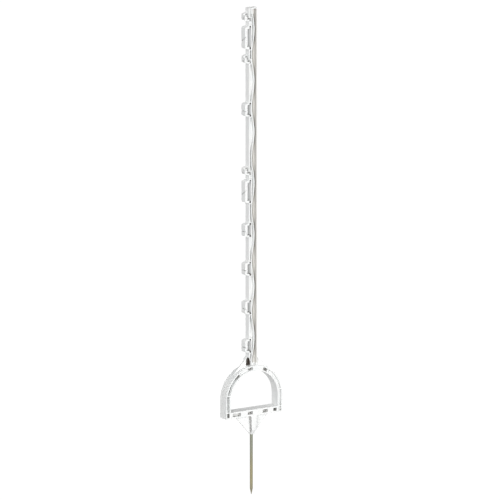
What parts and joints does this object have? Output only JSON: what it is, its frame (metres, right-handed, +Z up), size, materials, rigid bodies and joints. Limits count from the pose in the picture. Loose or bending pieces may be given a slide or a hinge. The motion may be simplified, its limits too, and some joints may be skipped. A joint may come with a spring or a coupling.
{
  "type": "step-in fence post",
  "caption": "Step-in fence post: a white moulded shaft with wire, tape and rope clips along one side, a stirrup to tread on and a steel ground spike.",
  "frame": {"origin": "on the spike's axis, at the shoulder where the plastic ends and the bare spike begins", "axes": "+Z up along the shaft, away from the ground; the stirrup lies in the XZ plane; the clips stand on the -X side; -Y is the side shown in the picture"},
  "size_m": [0.206, 0.036, 1.559],
  "materials": {
    "white_plastic": "white moulded plastic with a soft gloss",
    "plated_steel": "bright zinc plate with a yellow passivation, lightly scratched"
  },
  "bodies": {
    "root": {"post": "white_plastic", "spike": "plated_steel"}
  },
  "joints": []
}
